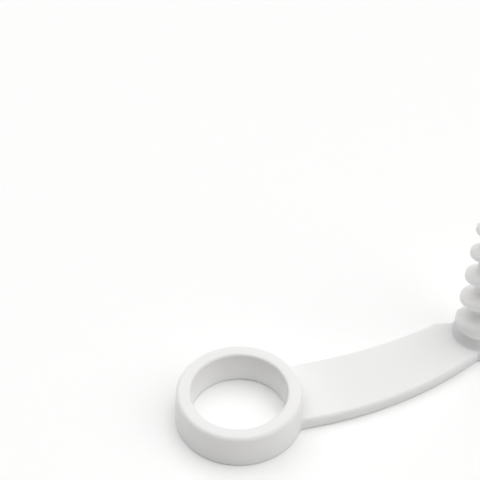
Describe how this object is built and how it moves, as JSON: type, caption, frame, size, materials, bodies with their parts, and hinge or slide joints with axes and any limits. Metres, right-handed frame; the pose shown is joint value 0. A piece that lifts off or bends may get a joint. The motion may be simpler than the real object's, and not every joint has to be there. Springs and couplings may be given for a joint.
{
  "type": "spiral potato cutter",
  "caption": "Hand-turned spiral cutter: a tapered plastic auger on a flat arm with a finger ring, and a steel blade on a short raised wing.",
  "frame": {"origin": "on the auger's axis, at the level of the flat underside", "axes": "+X runs from the finger ring to the blade wing, +Z along the auger to its tip"},
  "size_m": [0.1199, 0.0328, 0.066],
  "materials": {
    "body_plastic": "satin moulded",
    "auger_plastic": "satin moulded",
    "blade_steel": "brushed along the edge",
    "rivet_metal": "plain",
    "screw_steel": "plain"
  },
  "bodies": {
    "root": {"handle_body": "body_plastic", "auger": "auger_plastic", "blade": "blade_steel", "blade_rivets": "rivet_metal", "auger_screw": "screw_steel"}
  },
  "joints": []
}
